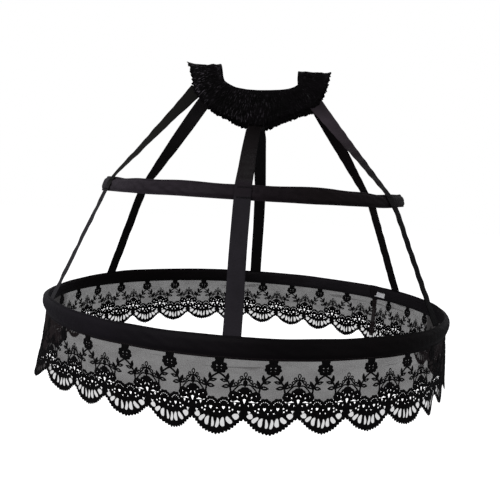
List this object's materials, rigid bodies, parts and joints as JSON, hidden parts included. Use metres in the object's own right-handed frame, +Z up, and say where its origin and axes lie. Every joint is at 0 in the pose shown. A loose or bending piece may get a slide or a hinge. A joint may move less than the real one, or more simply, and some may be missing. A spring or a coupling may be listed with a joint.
{
  "type": "crinoline cage",
  "caption": "Open skirt hoop frame: a ruched elastic waistband, ribbon straps, boned fabric hoops and a scalloped lace hem.",
  "frame": {"origin": "middle of the waist opening, level with the low front point of the waistband's upper hem", "axes": "+Z up along the garment's axis out of the waist, -Y to the garment's front, +X to the viewer's right when facing the front"},
  "size_m": [0.7213, 0.7212, 0.541],
  "materials": {
    "ruched_cloth": "black cotton, gathered",
    "elastic_webbing": "black woven elastic",
    "ribbon": "black grosgrain ribbon, slight sheen",
    "casing_cloth": "black satin-weave casing tape, soft sheen",
    "boning": "plain white plastic strip",
    "joiner": "plain sleeve",
    "lace": "black lace on fine net",
    "label_tape": "plain white woven tape"
  },
  "bodies": {
    "root": {"waistband_casing": "ruched_cloth", "waist_elastic": "elastic_webbing", "strap_front": "ribbon", "strap_front_left": "ribbon", "strap_front_right": "ribbon", "strap_back": "ribbon", "strap_back_left": "ribbon", "strap_back_right": "ribbon", "mid_hoop_casing": "casing_cloth", "mid_hoop_boning": "boning", "mid_hoop_joiner": "joiner", "bottom_hoop_casing": "casing_cloth", "bottom_hoop_boning": "boning", "bottom_hoop_joiner": "joiner", "lace_trim": "lace", "care_label": "label_tape"}
  },
  "joints": []
}
